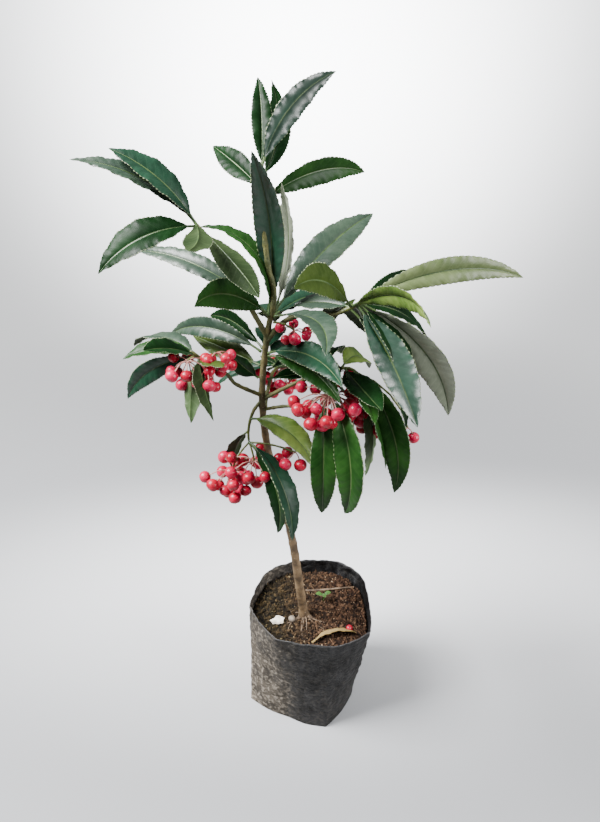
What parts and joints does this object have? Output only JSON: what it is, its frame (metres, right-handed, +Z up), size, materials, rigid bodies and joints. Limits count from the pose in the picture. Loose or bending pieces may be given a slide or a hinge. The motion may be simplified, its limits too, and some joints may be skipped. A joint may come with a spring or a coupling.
{
  "type": "potted berry shrub",
  "caption": "Small evergreen shrub with long pointed leaves in whorls and hanging clusters of red berries, standing in a soft black nursery bag of potting compost.",
  "frame": {"origin": "on the bag's flat underside, under the middle of its rim", "axes": "+Z up along the plant, -Y towards the side that the picture shows, +X to the right there"},
  "size_m": [0.265, 0.167, 0.4826],
  "materials": {
    "bag": "dull black polythene film, dusty and creased",
    "soil": "coarse brown bark compost",
    "bark": "grey-brown bark with fine ridges",
    "bough": "green-brown young shoots",
    "leaf": "glossy dark green leaves, red berries"
  },
  "bodies": {
    "root": {"grow_bag": "bag", "potting_soil": "soil", "trunk": "bark", "left_bough": "bough", "right_bough": "bough", "left_fruit_bough": "bough", "right_fruit_bough": "bough", "berry_bough": "bough", "lower_bough": "bough", "rear_bough": "bough", "top_tuft": "leaf", "upper_whorl": "leaf", "middle_whorl": "leaf", "lower_whorl": "leaf", "left_whorl": "leaf", "right_whorl": "leaf", "left_fruit_spray": "leaf", "right_fruit_spray": "leaf", "berry_spray": "leaf", "lower_spray": "leaf", "rear_spray": "leaf"}
  },
  "joints": []
}
